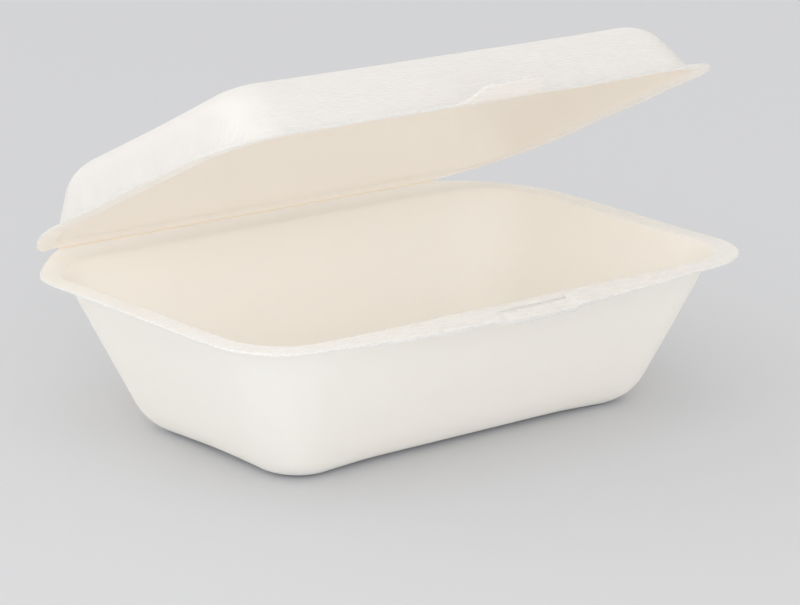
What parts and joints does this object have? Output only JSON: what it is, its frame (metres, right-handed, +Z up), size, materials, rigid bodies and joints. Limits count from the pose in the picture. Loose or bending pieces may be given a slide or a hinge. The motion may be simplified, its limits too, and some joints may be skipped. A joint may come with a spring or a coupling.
{
  "type": "hinged food box",
  "caption": "One-piece moulded-pulp food box: a deep rectangular tray and a shallow lid joined by a pressed fold, with a tongue on the lid's rim that tucks into a slit in the tray's rim.",
  "frame": {"origin": "centre of the tray's flat underside", "axes": "+X along the fold and the long side, -Y towards the front rim with the tongue and the slit, +Z up out of the tray"},
  "size_m": [0.248, 0.1646, 0.1431],
  "materials": {
    "moulded_pulp": "matte pressed sugar-cane fibre, smooth inside and with a fine wire-screen grain outside"
  },
  "bodies": {
    "base": {"base": "moulded_pulp"},
    "lid": {"lid": "moulded_pulp"}
  },
  "joints": [
    {"name": "lid_fold", "type": "hinge", "parent": "base", "child": "lid", "pos_m": [0, 0.0865, 0.06015], "axis": [-1, 0, 0], "range_deg": [-27, 153]}
  ]
}
